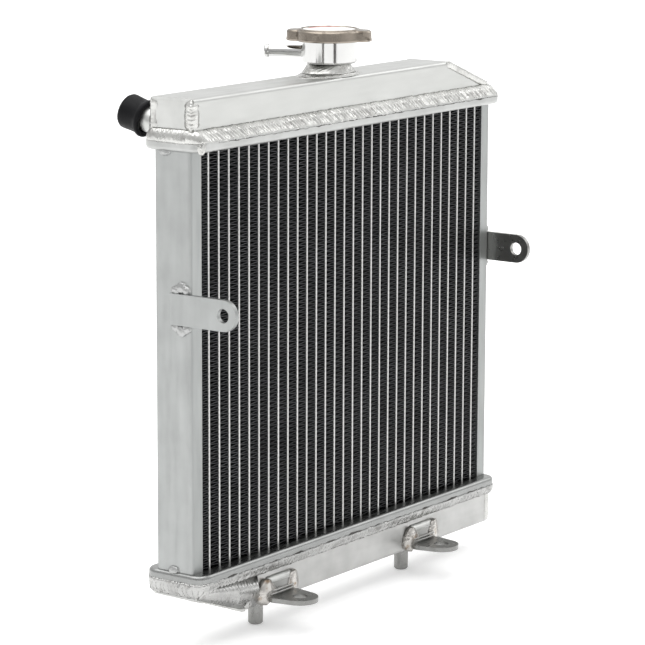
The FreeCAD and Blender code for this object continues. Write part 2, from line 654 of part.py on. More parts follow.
def cap_inner_parts():
    """What hangs inside the cap: spring disc, bell, spring, pressure valve and vacuum valve."""
    disc_low = "Size.neck_rim_height + Size.close_gap"
    dish_top = "Size.cap_top_height - Size.dish_depth"
    stem = "Size.stem_radius"
    bell_inner = "Size.bell_radius - Size.bell_wall"
    seat = "Size.neck_floor_height + Size.neck_floor"
    plate_low = f"{seat} + Size.seal_thick"
    plate_top = f"{seat} + Size.seal_thick + Size.valve_plate"
    guide = f"{bell_inner} - Size.running_gap"
    guide_top = f"{plate_top} + Size.valve_guide_height"
    plate_edge = "Size.seal_radius - Size.seal_overhang"
    valve_bore = "Size.vacuum_stem + Size.running_gap"
    under_seat = f"{plate_low} - Size.close_gap"
    head_low = f"{plate_top} + Size.vacuum_head_low"
    head_top = f"{plate_top} + Size.vacuum_head_top"
    head_edge = "Size.vacuum_stem + Size.vacuum_head"
    rivet_low = f"{dish_top} + Size.stem_head_low"
    rivet_top = f"{dish_top} + Size.stem_head_top"
    rivet_edge = f"{stem} + Size.stem_head"
    bell_roof = "Size.bell_top - Size.bell_wall"

    outlines = {
        "cap_spring_disc": (
            (f"{stem} + Size.running_gap", disc_low), ("Size.disc_radius", disc_low),
            ("Size.disc_radius", f"{disc_low} + Size.disc_thick"),
            (f"{stem} + Size.running_gap", f"{disc_low} + Size.disc_thick")),
        "cap_bell": (
            ("0", bell_roof), (bell_inner, bell_roof),
            (bell_inner, "Size.bell_bottom"), ("Size.bell_radius", "Size.bell_bottom"),
            ("Size.bell_radius", "Size.bell_top"), (stem, "Size.bell_top"),
            (stem, rivet_low), (rivet_edge, rivet_low), (rivet_edge, rivet_top), ("0", rivet_top)),
        "pressure_seal": (
            ("Size.seal_bore", seat), ("Size.seal_radius", seat),
            ("Size.seal_radius", plate_low), ("Size.seal_bore", plate_low)),
        "pressure_valve": (
            (valve_bore, plate_low), (plate_edge, plate_low), (plate_edge, plate_top),
            (guide, plate_top), (guide, guide_top), (f"{guide} - Size.guide_wall", guide_top),
            (f"{guide} - Size.guide_wall", plate_top), (valve_bore, plate_top)),
        "vacuum_valve": (
            ("0", f"{plate_low} - Size.vacuum_low"),
            ("Size.vacuum_disc", f"{plate_low} - Size.vacuum_low"),
            ("Size.vacuum_disc", under_seat), ("Size.vacuum_stem", under_seat),
            ("Size.vacuum_stem", head_low), (head_edge, head_low), (head_edge, head_top),
            ("0", head_top)),
    }
    for label, corners in outlines.items():
        body = new_body(label)
        revolve(body, corners)
        place(body, NECK_X)
        finish(body, label)

    path = doc.addObject("Part::Helix", "spring_path")
    wire = "Size.spring_wire"
    span = f"({bell_roof} - ({plate_top}) - 2 * {wire} - 2 * Size.close_gap)"
    path.setExpression("Height", span)
    path.setExpression("Pitch", f"{span} / Size.spring_turns")
    path.setExpression("Radius", "Size.spring_radius")
    section = doc.addObject("Part::Circle", "spring_section")
    section.setExpression("Radius", wire)
    section.Placement = FreeCAD.Placement(FreeCAD.Vector(value("Size.spring_radius"), 0, 0),
                                          FreeCAD.Rotation(FreeCAD.Vector(1, 0, 0), 90))
    spring = doc.addObject("Part::Sweep", "pressure_spring")
    spring.Sections = [section]
    spring.Spine = (path, [])
    spring.Solid = True
    spring.Frenet = True
    place(spring, NECK_X, "0", f"{plate_top} + {wire} + Size.close_gap")
    finish(spring, "pressure_spring")


# --- Hose pipes and rubber transport caps --------------------------------------------------

def hose_pipe(label, x, height, tilt):
    """A pipe stub through the tank's back wall, with a hose bead near its end."""
    body = new_body(label)
    outer = "Size.pipe_radius"
    bore = "Size.pipe_radius - Size.pipe_wall"
    end = "Size.pipe_reach"
    bead = f"{end} - Size.pipe_tip - Size.bead_width"
    revolve(body, ((bore, "-Size.pipe_inside"), (outer, "-Size.pipe_inside"), (outer, bead),
                   ("Size.bead_radius", f"{bead} + Size.bead_slope"),
                   ("Size.bead_radius", f"{bead} + Size.bead_width - Size.bead_slope"),
                   (outer, f"{bead} + Size.bead_width"), (outer, end), (bore, end)))
    point_backwards(body, x, "Size.tank_depth / 2", height, tilt)
    return finish(body, label)


def rubber_cap(label, x, height, tilt):
    """A soft cup pushed over a pipe's end, with a thicker rim at its mouth."""
    body = new_body(label)
    bore = "Size.bead_radius + Size.close_gap"
    mouth = "Size.rubber_mouth"
    end = "Size.rubber_reach"
    revolve(body, ((bore, mouth), ("Size.rubber_rim - 0.3", mouth), ("Size.rubber_rim", f"{mouth} + 0.5"),
                   ("Size.rubber_rim", f"{mouth} + 2"), ("Size.rubber_radius - 0.4", f"{mouth} + 4.5"),
                   ("Size.rubber_radius", f"{end} - 5"), ("Size.rubber_radius - 0.3", f"{end} - 1.5"),
                   ("Size.rubber_radius - 1.8", end), ("0", end),
                   ("0", f"{end} - Size.rubber_end"), (bore, f"{end} - Size.rubber_end")))
    point_backwards(body, x, "Size.tank_depth / 2", height, tilt)
    return finish(body, label)


for number in range(1, int(value("Size.tube_count")) + 1):
    core_tube(number)
fin_rows()
core_side_plates()
header_plate("top_header_plate", CORE_TOP, False)
header_plate("bottom_header_plate", CORE_BOTTOM, True)
top_tank()
bottom_tank()
side_channel("left_side_channel", "-1")
side_channel("right_side_channel", "1")
side_strap("left_side_strap", "-1", "Size.left_strap_reach", "Size.left_strap_height")
side_strap("right_side_strap", "1", "Size.right_strap_reach", "Size.right_strap_height")
lower_bracket("left_lower_bracket", "-1")
lower_bracket("right_lower_bracket", "1")
locating_pins()
filler_neck()
overflow_nipple()
cap_shell()
cap_inner_parts()
hose_pipe("inlet_pipe", "Size.inlet_x", "Size.inlet_height", "Size.inlet_tilt")
hose_pipe("outlet_pipe", "Size.outlet_x", "Size.outlet_height", "0")
rubber_cap("inlet_rubber_cap", "Size.inlet_x", "Size.inlet_height", "Size.inlet_tilt")
rubber_cap("outlet_rubber_cap", "Size.outlet_x", "Size.outlet_height", "0")

doc.recompute()
for item in doc.Objects:
    if "Invalid" in item.State or "Error" in item.State:
        raise ValueError(f"{item.Label} failed: {item.State}")
for item in subparts:
    if item.Shape.isNull() or not item.Shape.isValid():
        raise ValueError(f"{item.Label} has no valid shape")

os.makedirs("parts", exist_ok=True)
for item in subparts:
    item.Shape.exportStep(f"parts/{item.Label}.step")
    print(f"{item.Label}: {len(item.Shape.Solids)} solids, {item.Shape.Volume:.1f} mm3")
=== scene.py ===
import math
import random
from bisect import bisect_right

import bmesh
import bpy
from mathutils import Matrix, Vector, noise


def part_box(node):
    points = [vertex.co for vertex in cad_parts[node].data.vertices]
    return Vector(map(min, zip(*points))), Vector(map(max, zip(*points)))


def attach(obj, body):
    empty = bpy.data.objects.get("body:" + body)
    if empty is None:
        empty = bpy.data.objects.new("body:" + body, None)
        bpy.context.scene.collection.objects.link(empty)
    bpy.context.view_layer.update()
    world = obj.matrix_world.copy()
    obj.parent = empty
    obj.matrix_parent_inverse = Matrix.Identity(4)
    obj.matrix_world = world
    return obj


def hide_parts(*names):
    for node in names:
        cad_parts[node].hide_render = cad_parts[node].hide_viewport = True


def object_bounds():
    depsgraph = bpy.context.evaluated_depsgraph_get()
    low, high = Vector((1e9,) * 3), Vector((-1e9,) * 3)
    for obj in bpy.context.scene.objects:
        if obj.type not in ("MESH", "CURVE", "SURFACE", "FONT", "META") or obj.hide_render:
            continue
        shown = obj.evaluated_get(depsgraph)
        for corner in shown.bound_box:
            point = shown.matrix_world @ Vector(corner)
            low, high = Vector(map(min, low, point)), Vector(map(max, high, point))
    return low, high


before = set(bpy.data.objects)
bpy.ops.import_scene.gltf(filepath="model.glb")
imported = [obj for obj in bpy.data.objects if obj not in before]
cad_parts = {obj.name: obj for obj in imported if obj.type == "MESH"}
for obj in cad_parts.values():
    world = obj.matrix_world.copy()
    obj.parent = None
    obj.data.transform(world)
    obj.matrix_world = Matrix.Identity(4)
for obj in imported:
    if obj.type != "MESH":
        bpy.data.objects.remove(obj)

# Looks for an aluminium car radiator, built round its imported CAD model. Lengths are in metres.
# +X runs along the core, +Y to the back and +Z up; the camera stands in front and to the left.

MM = 0.001
cad_low, cad_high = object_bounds()
scene = bpy.context.scene


# --- Places that the CAD model gives -------------------------------------------------------

LIP_LOW, LIP_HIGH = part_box("top_header_plate")
TRAY_LOW, TRAY_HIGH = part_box("bottom_header_plate")
TOP_LOW, TOP_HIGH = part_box("top_tank_shell")
BASE_LOW, BASE_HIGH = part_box("bottom_tank_shell")
NECK_LOW, NECK_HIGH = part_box("filler_neck")
CAP_LOW, CAP_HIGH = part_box("cap_shell")
NECK_AXIS = (NECK_LOW + NECK_HIGH) / 2
TUBES = sorted(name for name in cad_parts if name.startswith("core_tube_"))
TUBE_X = [sum(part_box(name), Vector()).x / 2 for name in TUBES]
PITCH = TUBE_X[1] - TUBE_X[0]

TRAY_CORNER = 9 * MM
LEG_HALF = 12.5 * MM
TOP_SLOPE_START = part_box("top_tank_right_end")[0].x
BASE_SLOPE_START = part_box("bottom_tank_left_end")[1].x
SLOPE_FOOT_TOP = TOP_LOW.z + 12.2 * MM
SLOPE_FOOT_BASE = BASE_LOW.z + 17.7 * MM


# --- Camera --------------------------------------------------------------------------------

AZIMUTH = math.radians(-54.344)
ELEVATION = math.radians(10.698)
ROLL = math.radians(0.190)
CAMERA_AT = Vector((-1.58319, -1.12865, 0.52944))

camera_data = bpy.data.cameras.new("camera")
camera_data.lens = 172.6
camera_data.sensor_width = 36
camera_data.clip_end = 100
camera = bpy.data.objects.new("camera", camera_data)
scene.collection.objects.link(camera)
back = Vector((math.sin(AZIMUTH) * math.cos(ELEVATION),
               -math.cos(AZIMUTH) * math.cos(ELEVATION), math.sin(ELEVATION)))
turn = (-back).to_track_quat("-Z", "Y").to_matrix().to_4x4()
camera.matrix_world = Matrix.Translation(CAMERA_AT) @ turn @ Matrix.Rotation(ROLL, 4, "Z")
scene.camera = camera


# --- Materials -----------------------------------------------------------------------------

def add(tree, kind, inputs=None, **settings):
    """Adds a shader node; each input is a value or another node's socket."""
    made = tree.nodes.new(kind)
    for key, value in settings.items():
        setattr(made, key, value)
    for key, value in (inputs or {}).items():
        if isinstance(value, bpy.types.NodeSocket):
            tree.links.new(value, made.inputs[key])
        else:
            made.inputs[key].default_value = value
    return made


def cloud(tree, place, scale, low, high, detail=3):
    """Noise of that many blotches to the metre, spread between two values."""
    field = add(tree, "ShaderNodeTexNoise", {"Vector": place, "Scale": scale, "Detail": detail})
    spread = add(tree, "ShaderNodeMapRange",
                 {"Value": field.outputs["Fac"], "From Min": 0.32, "From Max": 0.68,
                  "To Min": low, "To Max": high})
    return spread.outputs["Result"]


def surface(name, colour, metallic, roughness, grain=(1, 1, 1), grain_size=1500,
            depth=0.010, wear=0.10, dirt=None, edge=0.4, painted_facing_tone=None):
    """A worn surface: mottled colour, uneven roughness, a fine grain and softened edges.

    Where a facing colour is given, faces that look to the front or the back take it: painted light
    and shade by which way a face looks, not a colour of the metal."""
    material = bpy.data.materials.new(name)
    material.use_nodes = True
    tree = material.node_tree
    shader = tree.nodes["Principled BSDF"]
    place = add(tree, "ShaderNodeTexCoord").outputs["Object"]
    drawn = add(tree, "ShaderNodeMapping", {"Vector": place, "Scale": grain}).outputs["Vector"]
    mottle = cloud(tree, place, 55, 0.0, 1.0)
    dark = [channel * (1 - wear) for channel in colour]
    # A colour mix keeps its sockets behind those for numbers, so they are found by place.
    base = add(tree, "ShaderNodeMix", {0: mottle, 6: (*dark, 1), 7: (*colour, 1)},
               data_type="RGBA").outputs[2]
    if dirt:
        spots = cloud(tree, place, 160, -2.2, 1.1, 6)
        clipped = add(tree, "ShaderNodeClamp", {"Value": spots}).outputs["Result"]
        base = add(tree, "ShaderNodeMix", {0: clipped, 6: base, 7: (*dirt, 1)},
                   data_type="RGBA").outputs[2]
    # Painted light and shade: faces that look to the front or the back are given another colour.
    if painted_facing_tone:
        normal = add(tree, "ShaderNodeTexCoord").outputs["Normal"]
        apart = add(tree, "ShaderNodeSeparateXYZ", {0: normal})
        turned = add(tree, "ShaderNodeMath", {0: apart.outputs["Y"]}, operation="ABSOLUTE")
        share = add(tree, "ShaderNodeMapRange", {"Value": turned.outputs[0], "From Min": 0.55,
                                                 "From Max": 0.85, "To Min": 0.0, "To Max": 1.0})
        base = add(tree, "ShaderNodeMix", {0: share.outputs["Result"], 6: base, 7: (*painted_facing_tone, 1)},
                   data_type="RGBA").outputs[2]
    tree.links.new(base, shader.inputs["Base Color"])
    rough = cloud(tree, drawn, grain_size / 6, roughness * 0.82, roughness * 1.2, 5)
    tree.links.new(rough, shader.inputs["Roughness"])
    shader.inputs["Metallic"].default_value = metallic
    rounded = add(tree, "ShaderNodeBevel", {"Radius": edge * MM}, samples=4)
    height = cloud(tree, drawn, grain_size, 0.0, 1.0, 4)
    bump = add(tree, "ShaderNodeBump", {"Height": height, "Distance": depth * MM,
                                        "Normal": rounded.outputs["Normal"]})
    tree.links.new(bump.outputs["Normal"], shader.inputs["Normal"])
    return material


SHEET = surface("rolled_aluminium", (0.565, 0.57, 0.555), 1, 0.36, grain=(0.15, 1, 1), depth=0.006,
                painted_facing_tone=(0.52, 0.525, 0.51))
# SIDE, SHELF, LOWER, LIP, LOW_WELD, SATIN_WELD and BRACKET are darker copies of the same sheet and
# weld metal: painted shade and painted reflection, each made as dark as its part looks where it
# lies. LOW_WELD's dirt spots are dirt.
SIDE = surface("rolled_side_sheet", (0.40, 0.41, 0.405), 1, 0.42, grain=(1, 1, 0.12), depth=0.006,
               painted_facing_tone=(0.335, 0.345, 0.34))
SHELF = surface("bottom_header_sheet", (0.31, 0.315, 0.31), 1, 0.28, grain=(0.2, 1, 1))
LOWER = surface("bottom_tank_sheet", (0.50, 0.50, 0.49), 1, 0.38, grain=(0.15, 1, 1), depth=0.008,
                wear=0.16)
LIP = surface("pressed_header_sheet", (0.475, 0.48, 0.47), 1, 0.38, grain=(0.2, 1, 1), depth=0.008)
WELD = surface("weld_metal", (0.62, 0.62, 0.60), 1, 0.27, grain_size=900, depth=0.05,
               wear=0.22, dirt=(0.45, 0.445, 0.43), edge=0.15)
LOW_WELD = surface("lower_weld_metal", (0.52, 0.52, 0.51), 1, 0.27, grain_size=900, depth=0.06,
                   wear=0.25, dirt=(0.33, 0.325, 0.315), edge=0.15)
SATIN_WELD = surface("satin_weld", (0.46, 0.465, 0.46), 1, 0.38, grain_size=900, depth=0.03,
                     wear=0.15, edge=0.15)
BURNT_WELD = surface("heat_tinted_weld", (0.62, 0.60, 0.57), 1, 0.28, grain_size=700, depth=0.05,
                     wear=0.25, dirt=(0.30, 0.23, 0.17), edge=0.15)
# Painted shade: the tubes' sides are nearly black, standing in for the shade between the fins, and
# only faces that look to the front or back are bright.
TUBE = surface("tube_aluminium", (0.10, 0.10, 0.10), 1, 0.34, grain=(1, 1, 0.1), wear=0.25,
               painted_facing_tone=(0.53, 0.53, 0.52))
BRACKET = surface("bracket_aluminium", (0.31, 0.31, 0.30), 1, 0.30, grain=(0.3, 1, 1), wear=0.18)
FIN = surface("fin_black", (0.003, 0.003, 0.0035), 0, 0.40, wear=0.4, depth=0.02, edge=0.02)
# Painted highlight: a lighter grey for the fins' front and back edges, standing in for glints along
# them.
FIN_EDGE = surface("fin_front_edge", (0.10, 0.103, 0.108), 0.3, 0.42, wear=0.5, edge=0.02)
# Partly oxide, partly painted shadow: the dark line along the beads' toes.
OXIDE_AND_SHADOW = surface("weld_oxide_and_shadow", (0.10, 0.095, 0.09), 0.6, 0.55, wear=0.5, edge=0.1)
POLISHED = surface("polished_aluminium", (0.64, 0.64, 0.63), 1, 0.12, grain=(1, 1, 0.2),
                   depth=0.003)
CAP = surface("cap_steel", (0.37, 0.325, 0.275), 1, 0.23, grain=(1, 1, 0.15), wear=0.35,
              depth=0.04, edge=0.3, dirt=(0.12, 0.10, 0.08))
STEEL = surface("plated_steel", (0.62, 0.60, 0.55), 1, 0.28, wear=0.15)
BRASS = surface("valve_brass", (0.62, 0.45, 0.20), 1, 0.30, wear=0.2)
SPRING = surface("spring_steel", (0.42, 0.41, 0.40), 1, 0.28, wear=0.2)
SEAL = surface("seal_rubber", (0.02, 0.02, 0.02), 0, 0.7, grain_size=2500, depth=0.03)
RUBBER = surface("black_rubber", (0.005, 0.005, 0.006), 0, 0.50, grain_size=2200, depth=0.03,
                 wear=0.35)
for material, gloss in ((RUBBER, 0.14), (FIN, 0.05)):
    shader = material.node_tree.nodes["Principled BSDF"]
    shader.inputs["Specular IOR Level"].default_value = gloss
LABEL = surface("cap_label", (0.86, 0.85, 0.83), 0, 0.35, wear=0.05, depth=0.004)
RED = surface("label_red", (0.62, 0.03, 0.03), 0, 0.35, wear=0.1, depth=0.004)

FINISHES = {"brushed_aluminium": SHEET, "tube_aluminium": TUBE, "fin_black": FIN,
            "polished_neck": POLISHED, "cap_steel": CAP, "plated_steel": STEEL,
            "valve_brass": BRASS, "spring_steel": SPRING, "seal_rubber": SEAL,
            "black_rubber": RUBBER}
# Parts given a darker copy of the metal: painted shade and reflection, not finishes of their own.
PAINTED_SHADE_MATERIALS = {"left_side_channel": SIDE, "right_side_channel": SIDE,
                "left_side_strap": SIDE, "right_side_strap": BRACKET,
                "top_header_plate": LIP, "bottom_header_plate": SHELF,
                "bottom_tank_shell": LOWER, "bottom_tank_left_end": LOWER,
                "left_lower_bracket": BRACKET, "right_lower_bracket": BRACKET,
                "locating_pins": BRACKET}

for name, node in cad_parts.items():
    finish = PAINTED_SHADE_MATERIALS.get(name) or FINISHES[node.data.materials[0].name.split(".")[0]]
    node.data.materials.clear()
    node.data.materials.append(finish)


# --- Making pieces -------------------------------------------------------------------------

def piece(name, vertices, faces, material, body="radiator", smooth=True):
    """A closed mesh that rides on one of the CAD bodies."""
    mesh = bpy.data.meshes.new(name)
    mesh.from_pydata(vertices, [], faces)
    work = bmesh.new()
    work.from_mesh(mesh)
    bmesh.ops.recalc_face_normals(work, faces=work.faces)
    work.to_mesh(mesh)
    work.free()
    mesh.polygons.foreach_set("use_smooth", [smooth] * len(mesh.polygons))
    mesh.materials.append(material)
    made = bpy.data.objects.new(name, mesh)
    scene.collection.objects.link(made)
    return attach(made, body)


def skin(rings, closed):
    """Faces over rings of equal length: a closed ring of rings, or a run with two end caps."""
    count, around = len(rings), len(rings[0])
    vertices = [point for ring in rings for point in ring]
    faces = []
    for i in range(count if closed else count - 1):
        here, ahead = i * around, (i + 1) % count * around
        for j in range(around):
            k = (j + 1) % around
            faces.append((here + j, here + k, ahead + k, ahead + j))
    if not closed:
        faces.append(tuple(range(around)))
        faces.append(tuple(range((count - 1) * around, count * around)))
    return vertices, faces


LATHE_STEPS = 72


def lathe(name, profile, centre, axis, material, body):
    """Turns (radius, height) points round an axis; a profile that ends on it closes there."""
    upright = Vector(axis).normalized().to_track_quat("Z", "Y").to_matrix()
    rings = []
    for radius, height in profile:
        ring = []
        for i in range(LATHE_STEPS):
            angle = math.tau * i / LATHE_STEPS
            spot = Vector((radius * math.cos(angle), radius * math.sin(angle), height))
            ring.append(centre + upright @ spot)
        rings.append(ring)
    return piece(name, *skin(rings, False), material, body)


def run_length(rail_a, rail_b):
    """How far along its middle each station of a strip between two rails is."""
    middle = [(a + b) / 2 for a, b in zip(rail_a, rail_b)]
    run = [0.0]
    for here, ahead in zip(middle, middle[1:]):
        run.append(run[-1] + (ahead - here).length)
    return middle, run


ACROSS = 8
CRESCENT_LENGTHS = (0.72, 1.3)      # shares of the pitch
CRESCENT_HEIGHTS = (0.72, 1.12)     # shares of the crown
QUIET_DEPTH = 0.28
QUIET_FADE = 10 * MM
ROOT_DEPTH = 2 * MM


def bead(name, rail_a, rail_b, crown, pitch, seed, side=1, closed=False, bow=1.0,
         groove=0.45, ragged=0.08, ridge=0.0, blunt=False, quiet_to=None, material=None):
    """A weld bead between two rails: overlapping crescents that stand proud of the chord.

    side picks which way it bulges, bow how far each crescent's middle trails its ends, and
    groove how deep the lines between crescents are, as a share of the crown. ridge is how far
    the metal under the bead already stands above the chord, as an outside corner does. A blunt
    bead keeps its full width to its ends. Left of quiet_to the crescents are shallow; they
    deepen over the next 10 mm."""
    dice = random.Random(seed)
    middle, run = run_length(rail_a, rail_b)
    count = len(rail_a)
    length = run[-1] + ((middle[0] - middle[-1]).length if closed else 0)
    edges, heights, drifts = [-3 * pitch], [], []
    while edges[-1] < length + 3 * pitch:
        edges.append(edges[-1] + pitch * dice.uniform(*CRESCENT_LENGTHS))
        heights.append(dice.uniform(*CRESCENT_HEIGHTS))
        drifts.append(dice.uniform(-1, 1))
    rings = []
    for i in range(count):
        a, b = rail_a[i], rail_b[i]
        ahead = middle[(i + 1) % count] if closed or i < count - 1 else middle[i]
        behind = middle[i - 1] if closed or i > 0 else middle[i]
        outward = (ahead - behind).cross(b - a).normalized() * side
        width = (b - a).length
        ends = 1.0
        if not closed and not blunt:
            reach = max(width * 0.55, 1e-5)
            near_end = min(run[i], length - run[i])
            ends = math.sqrt(max(0.0, 1 - max(0.0, 1 - near_end / reach) ** 2))
        ends = 0.12 + 0.88 * ends
        centre = (a + b) / 2
        wobble = noise.noise(Vector((run[i] * 220, seed * 7.1, 0.3)))
        spread = 1 + ragged * wobble
        depth = groove
        if quiet_to is not None:
            depth *= min(1.0, max(QUIET_DEPTH, (centre.x - quiet_to) / QUIET_FADE))
        ring = []
        for j in range(ACROSS + 1):
            across = 2 * j / ACROSS - 1
            arch = max(0.0, 1 - abs(across) ** 2.1)
            roof = ridge * max(0.0, 1 - abs(across) ** 1.3)
            along = run[i] + bow * pitch * (1 - across * across)
            n = min(max(bisect_right(edges, along) - 1, 0), len(heights) - 1)
            share = (along - edges[n]) / (edges[n + 1] - edges[n])
            scale = math.sqrt(max(0.0, math.sin(math.pi * min(max(share, 0.0), 1.0))))
            lift = crown * arch * heights[n] * (1 - depth + depth * scale) * ends
            lift += crown * 0.10 * arch * noise.noise(Vector((run[i] * 900, across * 2, seed)))
            shift = drifts[n] * ragged * 0.35 * (1 - arch)
            aside = (b - a) / 2 * (across * (spread + shift)) * ends
            spot = centre + aside + outward * (lift + roof * (0.75 + 0.25 * ends))
            ring.append(spot)
        ring.append(centre - outward * min(width * 0.3, ROOT_DEPTH))
        rings.append(ring)
    return piece(name, *skin(rings, closed), material or WELD)


RAIL_STEP = 0.4 * MM


def rails(points_a, points_b):
    """Two rails with the same number of stations, from matching corner points."""
    line_a, line_b = [points_a[0]], [points_b[0]]
    for k in range(len(points_a) - 1):
        longest = max((points_a[k + 1] - points_a[k]).length,
                      (points_b[k + 1] - points_b[k]).length)
        parts = max(1, round(longest / RAIL_STEP))
        for i in range(parts):
            share = (i + 1) / parts
            line_a.append(points_a[k].lerp(points_a[k + 1], share))
            line_b.append(points_b[k].lerp(points_b[k + 1], share))
    return line_a, line_b


BLOB_STEPS = 28
BLOB_LAYERS = 14


def blob(name, centre, size, seed, normal, material=None):
    """A lump of weld: a flattened ball with an uneven skin."""
    upright = Vector(normal).normalized().to_track_quat("Z", "Y").to_matrix()
    rings = []
    for i in range(BLOB_LAYERS + 1):
        polar = math.pi * (0.02 + 0.96 * i / BLOB_LAYERS)
        ring = []
        for j in range(BLOB_STEPS):
            angle = math.tau * j / BLOB_STEPS
            unit = Vector((math.sin(polar) * math.cos(angle), math.sin(polar) * math.sin(angle),
                           math.cos(polar)))
            lump = 1 + 0.16 * noise.noise(unit * 2.2 + Vector((seed, 0, 0)))
            ripple = 1 + 0.05 * math.sin(polar * 22)
            spot = Vector((unit.x * size[0], unit.y * size[1], unit.z * size[2])) * lump * ripple
            ring.append(Vector(centre) + upright @ spot)
        rings.append(ring)
    return piece(name, *skin(rings, False), material or WELD)


# --- Core: the folded fins between the tubes -----------------------------------------------

FOLD = 3.0 * MM
FIN_SHEET = 0.12 * MM
FIN_EDGE_SHEET = 0.27 * MM
FIN_EDGE_DEPTH = 0.5 * MM
FIN_STATIONS = 8
FIN_HALF = 4.55 * MM
FIN_FLATNESS = 1.32     # a sine this tall, cut off at 1, lies flat against the tubes
fin_low, fin_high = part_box("fin_rows")
fin_front, fin_back = (corner.y * 0.99 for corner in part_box(TUBES[0]))
# A fin's section from front to back: depth, height and thickness. Its middle is waved upwards,
# so that the core cannot be seen straight through.
FIN_WAVE = FOLD / 2
FIN_TUCK = 0.8 * MM
FIN_SECTION = ((fin_front, 0.0, FIN_EDGE_SHEET), (fin_front + FIN_EDGE_DEPTH, 0.0, FIN_SHEET),
               (0.0, FIN_WAVE, FIN_SHEET), (fin_back - FIN_EDGE_DEPTH, 0.0, FIN_SHEET),
               (fin_back, 0.0, FIN_EDGE_SHEET))


def fin_strip(centre_x, phase):
    """One folded strip, from the bottom header to the top one, as a closed sheet."""
    foot = fin_low.z - FIN_TUCK
    height = fin_high.z + FIN_TUCK - foot
    folds = round(height / FOLD)
    line = []
    for i in range(folds * FIN_STATIONS + 1):
        turn_at = math.tau * i / FIN_STATIONS + phase
        swing = max(-1.0, min(1.0, FIN_FLATNESS * math.sin(turn_at)))
        rise = foot + height * i / (folds * FIN_STATIONS)
        line.append(Vector((centre_x + FIN_HALF * swing, 0, rise)))
    rings = []
    for i, spot in enumerate(line):
        run = line[min(i + 1, len(line) - 1)] - line[max(i - 1, 0)]
        aside = Vector((-run.z, 0, run.x)).normalized()
        ring = [spot + Vector((0, y, z)) + aside * thick / 2 for y, z, thick in FIN_SECTION]
        ring += [spot + Vector((0, y, z)) - aside * thick / 2
                 for y, z, thick in reversed(FIN_SECTION)]
        rings.append(ring)
    return skin(rings, False)


fin_points, fin_faces = [], []
dice = random.Random(4)
strips = [TUBE_X[0] - PITCH / 2] + [x + PITCH / 2 for x in TUBE_X]
for centre_x in strips:
    points, faces = fin_strip(centre_x, dice.uniform(0, math.tau))
    start = len(fin_points)
    fin_points += points
    fin_faces += [tuple(start + k for k in face) for face in faces]
fins = piece("folded_fins", fin_points, fin_faces, FIN, smooth=False)
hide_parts("fin_rows")
# Faces that look to the front or back take the lighter grey: painted highlight on the fins' edges.
fins.data.materials.append(FIN_EDGE)
for face in fins.data.polygons:
    if abs(face.normal.y) > 0.9:
        face.material_index = 1


# --- Header beads: from each tray's lip to the tank inside it ------------------------------

LIP_OVERLAP = 0.9 * MM
LIP_GAP = 0.1 * MM
WALL_RUN = 7.4 * MM
WALL_GAP = 0.05 * MM
TANK_CORNER = 1.5 * MM
CORNER_STEPS = 36
QUIET_CORNER = 3 * MM
# Where the bottom bead starts to reach down to the slope, and over what run.
REACH_FROM = 22 * MM
REACH_RUN = 18 * MM
TOE_BARE = 12 * MM
TOE_FADE = 25 * MM
TOE_WAVER = 0.5 * MM


def plan_loop(low_x, high_x, half_y, radius, z):
    """A rounded rectangle seen from above, with the same stations for every radius."""
    corners = [(low_x, -half_y, 180), (high_x, -half_y, 270), (high_x, half_y, 0),
               (low_x, half_y, 90)]
    sides = [round((LIP_HIGH.x - LIP_LOW.x) / RAIL_STEP), round(2 * LIP_HIGH.y / RAIL_STEP)] * 2
    points = []
    for k, (x, y, start) in enumerate(corners):
        cx = x + math.copysign(radius, -x)
        cy = y + math.copysign(radius, -y)
        for i in range(CORNER_STEPS + 1):
            angle = math.radians(start + 90 * i / CORNER_STEPS)
            points.append(Vector((cx + radius * math.cos(angle), cy + radius * math.sin(angle),
                                  z)))
        nx, ny, after = corners[(k + 1) % 4]
        ncx, ncy = nx + math.copysign(radius, -nx), ny + math.copysign(radius, -ny)
        angle = math.radians(after)
        goal = Vector((ncx + radius * math.cos(angle), ncy + radius * math.sin(angle), z))
        first = points[-1]
        for i in range(1, sides[k]):
            points.append(first.lerp(goal, i / sides[k]))
    return points


def toe_line(name, rail, thick, seed):
    """A dark line, thicker and thinner, at a bead's toe on a lip: partly oxide, partly painted
    shadow standing in for the undercut beneath the bead's edge.

    It follows a closed rail and fades out round the left end."""
    up = Vector((0, 0, 1))
    rings = []
    fade_from = min(point.x for point in rail) + TOE_BARE
    for i, here in enumerate(rail):
        run = (rail[(i + 1) % len(rail)] - rail[i - 1]).normalized()
        away = run.cross(up).normalized()
        shown = min(1.0, max(0.02, (here.x - fade_from) / TOE_FADE))
        swell = max(0.0, noise.noise(here * 120 + Vector((seed, 0, 0))))
        size = (0.12 + thick * swell) * MM * shown
        waver = TOE_WAVER * noise.noise(here * 260 + Vector((0, seed, 0)))
        centre = here + Vector((0, 0, waver))
        rings.append([centre + away * size, centre + up * size, centre - away * size,
                      centre - up * size])
    return piece(name, *skin(rings, True), OXIDE_AND_SHADOW)


lip_rail = plan_loop(LIP_LOW.x - LIP_GAP, LIP_HIGH.x + LIP_GAP, LIP_HIGH.y + LIP_GAP,
                     TRAY_CORNER, LIP_HIGH.z - LIP_OVERLAP)
wall_rail = plan_loop(TOP_LOW.x, TOP_HIGH.x, TOP_HIGH.y + WALL_GAP, TANK_CORNER,
                      LIP_HIGH.z + WALL_RUN)
toe_line("top_header_toe_line", lip_rail, 0.35, 8)
bead("top_header_bead", lip_rail, wall_rail, 1.6 * MM, 3.0 * MM, 11, closed=True, bow=1.5,
     ragged=0.12, groove=0.7, quiet_to=LIP_LOW.x + QUIET_CORNER)

